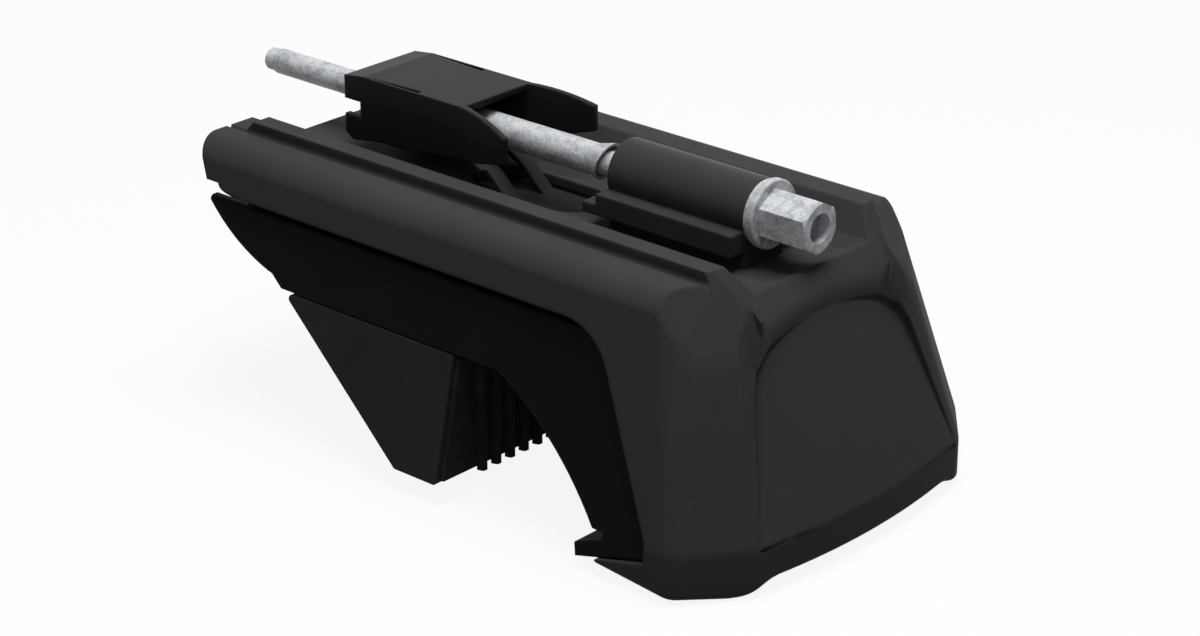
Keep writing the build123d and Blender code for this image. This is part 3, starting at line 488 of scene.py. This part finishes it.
def ribTree():  # a row of ribs along y, centred on the jaw
    tree = bpy.data.node_groups.new("ribRow", "GeometryNodeTree")
    tree.interface.new_socket("Geometry", in_out="OUTPUT", socket_type="NodeSocketGeometry")
    for name, kind in (("Rib", "Object"), ("Count", "Int"), ("Pitch", "Float"), ("Finish", "Material")):
        tree.interface.new_socket(name, in_out="INPUT", socket_type="NodeSocket" + kind)
    made = {key: tree.nodes.new(kind) for key, kind in {
        "given": "NodeGroupInput", "gaps": "ShaderNodeMath", "length": "ShaderNodeMath",
        "toStart": "ShaderNodeMath", "start": "ShaderNodeCombineXYZ", "step": "ShaderNodeCombineXYZ",
        "row": "GeometryNodeMeshLine", "rib": "GeometryNodeObjectInfo",
        "place": "GeometryNodeInstanceOnPoints", "real": "GeometryNodeRealizeInstances",
        "finish": "GeometryNodeSetMaterial", "out": "NodeGroupOutput"}.items()}
    made["gaps"].operation = "SUBTRACT"  # one gap fewer than ribs
    made["gaps"].inputs[1].default_value = 1.0
    made["length"].operation = "MULTIPLY"
    made["toStart"].operation = "MULTIPLY"  # the first rib is half the row before the middle
    made["toStart"].inputs[1].default_value = -0.5
    for source, output, target, entry in (
            ("given", "Count", "gaps", 0), ("gaps", 0, "length", 0), ("given", "Pitch", "length", 1),
            ("length", 0, "toStart", 0), ("toStart", 0, "start", "Y"), ("given", "Pitch", "step", "Y"),
            ("given", "Count", "row", "Count"), ("start", 0, "row", "Start Location"),
            ("step", 0, "row", "Offset"), ("given", "Rib", "rib", "Object"),
            ("row", 0, "place", "Points"), ("rib", "Geometry", "place", "Instance"),
            ("place", 0, "real", 0), ("real", 0, "finish", "Geometry"),
            ("given", "Finish", "finish", "Material"), ("finish", 0, "out", 0)):
        tree.links.new(made[source].outputs[output], made[target].inputs[entry])
    return tree


def setInput(modifier, name, value):
    for item in modifier.node_group.interface.items_tree:
        if item.name == name and item.in_out == "INPUT":
            modifier[item.identifier] = value


def addRibbedPad():
    back = pad["faceX"]
    front = back + pad["base"]
    tip = front + pad["ribHeight"]
    plate = [[(x, -pad["lowHalf"], pad["low"]), (x, pad["lowHalf"], pad["low"]),
              (x, pad["highHalf"], pad["high"]), (x, -pad["highHalf"], pad["high"])]
             for x in (back, front)]
    base = blank(solid("padBase", *skin(plate)))
    soften(base, pad["edge"], pad["edgeTurn"])
    wide, slim = pad["ribWidth"] / 2, pad["ribWidth"] * pad["ribTaper"]
    half = [(front - pad["ribSunk"], wide), (front, wide),
            (tip - pad["crownDrop"], slim + pad["crownOut"]), (tip, slim - pad["crownIn"])]
    section = [(x, -y) for x, y in half] + half[::-1]
    ends = [[(x, y, z) for x, y in section] for z in (pad["ribFoot"], pad["ribTop"])]
    rib = blank(solid("rib", *skin(ends)))
    carrier = blank(bpy.data.meshes.new("ribRow"))
    row = carrier.modifiers.new("ribRow", "NODES")
    row.node_group = ribTree()
    setInput(row, "Rib", rib)
    setInput(row, "Count", pad["ribs"])
    setInput(row, "Pitch", pad["pitch"])
    setInput(row, "Finish", finishes["rubber"])
    ribs = finishedMesh(carrier, "ribs")
    mesh = finishedMesh(base, "padBase", (rib,))
    joined(mesh, [ribs])
    newPiece("ribbedPad", mesh, "jaw", "rubber", "jaw_pad")


addRibbedPad()
print("ribbed pad ready")

# jaw with its two goose-neck arms: the path is (x, z) up the middle of a strip

arms = {"cut": 0.02645, "weld": 0.00001, "inner": 0.0042, "outer": 0.0093, "deck": 0.0345,
        "shoulder": 0.0112, "thick": 0.0022, "edge": 0.0004, "edgeTurn": 40,
        "path": ((-0.0280, 0.0246), (-0.0312, 0.0272), (-0.0341, 0.0298), (-0.0370, 0.0328),
                 (-0.0412, 0.0356), (-0.0465, 0.0374), (-0.0560, 0.0382), (-0.0740, 0.0382))}


def jawStump():  # the CAD jaw, cut off where the strips take over
    mesh = nodes["inner_jaw"].data.copy()
    shape = bmesh.new()
    shape.from_mesh(mesh)
    bmesh.ops.remove_doubles(shape, verts=shape.verts, dist=arms["weld"])
    parts = list(shape.verts) + list(shape.edges) + list(shape.faces)
    cut = bmesh.ops.bisect_plane(
        shape, geom=parts, plane_co=(0, 0, arms["cut"]), plane_no=(0, 0, 1), clear_outer=True)
    edges = [item for item in cut["geom_cut"] if isinstance(item, bmesh.types.BMEdge)]
    bmesh.ops.holes_fill(shape, edges=edges)
    shape.to_mesh(mesh)
    shape.free()
    mesh.shade_flat()
    return mesh


def armPath():  # the path as a smooth line of points
    spine = bpy.data.curves.new("armSpine", "CURVE")
    spine.dimensions = "3D"
    line = spine.splines.new("NURBS")
    line.points.add(len(arms["path"]) - 1)
    for point, (x, z) in zip(line.points, arms["path"]):
        point.co = (x, 0, z, 1)
    line.order_u = 3
    line.use_endpoint_u = True
    line.resolution_u = 6
    path = finishedMesh(linked("armSpine", spine), "armSpine")
    return [vertex.co.copy() for vertex in path.vertices]


def armStrip(points, side):
    rings = []
    for i, point in enumerate(points):
        ahead = points[min(i + 1, len(points) - 1)] - points[max(i - 1, 0)]
        ahead.normalize()
        out = Vector((-ahead.z, 0, ahead.x)) * arms["thick"] / 2
        wide = arms["shoulder"] if point.z > arms["deck"] else arms["outer"]
        rings.append([(point.x + sign * out.x, side * y, point.z + sign * out.z)
                      for sign, y in ((1, arms["inner"]), (1, wide), (-1, wide), (-1, arms["inner"]))])
    strip = blank(solid("arm", *skin(rings)))
    soften(strip, arms["edge"], arms["edgeTurn"])
    return finishedMesh(strip, "arm")


def addJaw():
    mesh = jawStump()
    points = armPath()
    joined(mesh, [armStrip(points, side) for side in (-1, 1)])
    newPiece("jawBody", mesh, "jaw", "jaw_plastic", "inner_jaw")


addJaw()
print("jaw ready")

# floor, light and camera

stage = {"drop": 0.0002, "reach": 4.0, "glow": 0.9, "pale": 0.8, "bounce": 0.22, "worldLight": 0.04}


def addFloor():  # white to look at and in reflections, darker for the light that it throws back
    mesh = bpy.data.meshes.new("floor")
    low = cadBox[0][2] - stage["drop"]
    reach = stage["reach"]
    corners = ((-reach, -reach), (reach, -reach), (reach, reach), (-reach, reach))
    mesh.from_pydata([(x, y, low) for x, y in corners], [], [(0, 1, 2, 3)])
    finish = Finish("paleFloor")
    seen = finish.seen()
    paleness = finish.blend(seen, grey(stage["bounce"]), grey(stage["pale"]))
    matt = finish.node("ShaderNodeBsdfDiffuse", None, {"Color": paleness})
    glow = finish.node("ShaderNodeEmission", None, {"Color": white, "Strength": 1.0})
    surface = finish.node("ShaderNodeMixShader", None, {0: seen * stage["glow"], 1: matt, 2: glow})
    finish.node("ShaderNodeOutputMaterial", None, {"Surface": surface})
    mesh.materials.append(finish.owner)
    linked("floor", mesh)


def addWorld():  # white to look at, with little light of its own
    sky = Finish("studio", bpy.data.worlds)
    light = sky.node("ShaderNodeBackground", None, {"Color": white, "Strength": stage["worldLight"]})
    page = sky.node("ShaderNodeBackground", None, {"Color": white, "Strength": 1.0})
    surface = sky.node("ShaderNodeMixShader", None, {0: sky.seen(), 1: light, 2: page})
    sky.node("ShaderNodeOutputWorld", None, {"Surface": surface})
    bpy.context.scene.world = sky.owner


lamps = {
    "overhead": {"place": (0.13, 0.0, 1.12), "width": 0.8, "depth": 0.6, "power": 16.0},
    "frontLeft": {"place": (0.5, -0.85, 0.72), "width": 0.6, "depth": 0.6, "power": 1.6},
}


def addLamps():
    middle = (Vector(cadBox[0]) + Vector(cadBox[1])) / 2
    for name, lamp in lamps.items():
        data = bpy.data.lights.new(name, "AREA")
        data.shape = "RECTANGLE"
        data.size, data.size_y = lamp["width"], lamp["depth"]
        data.energy = lamp["power"]
        item = linked(name, data)
        item.location = lamp["place"]
        item.rotation_euler = (middle - item.location).to_track_quat("-Z", "Y").to_euler()


shot = {"eye": (0.5580, -0.6289, 0.3596), "turn": 41.7, "tilt": 23.4, "lens": 92.8, "sensor": 36.0,
        "near": 0.01}


def addCamera():
    data = bpy.data.cameras.new("camera")
    data.sensor_width = shot["sensor"]
    data.lens = shot["lens"]
    data.clip_start = shot["near"]
    camera = linked("camera", data)
    camera.location = shot["eye"]
    camera.rotation_euler = (math.radians(90 - shot["tilt"]), 0, math.radians(shot["turn"]))
    bpy.context.scene.camera = camera


addFloor()
addWorld()
addLamps()
addCamera()
bpy.context.scene.view_settings.view_transform = "Standard"
print("stage ready")
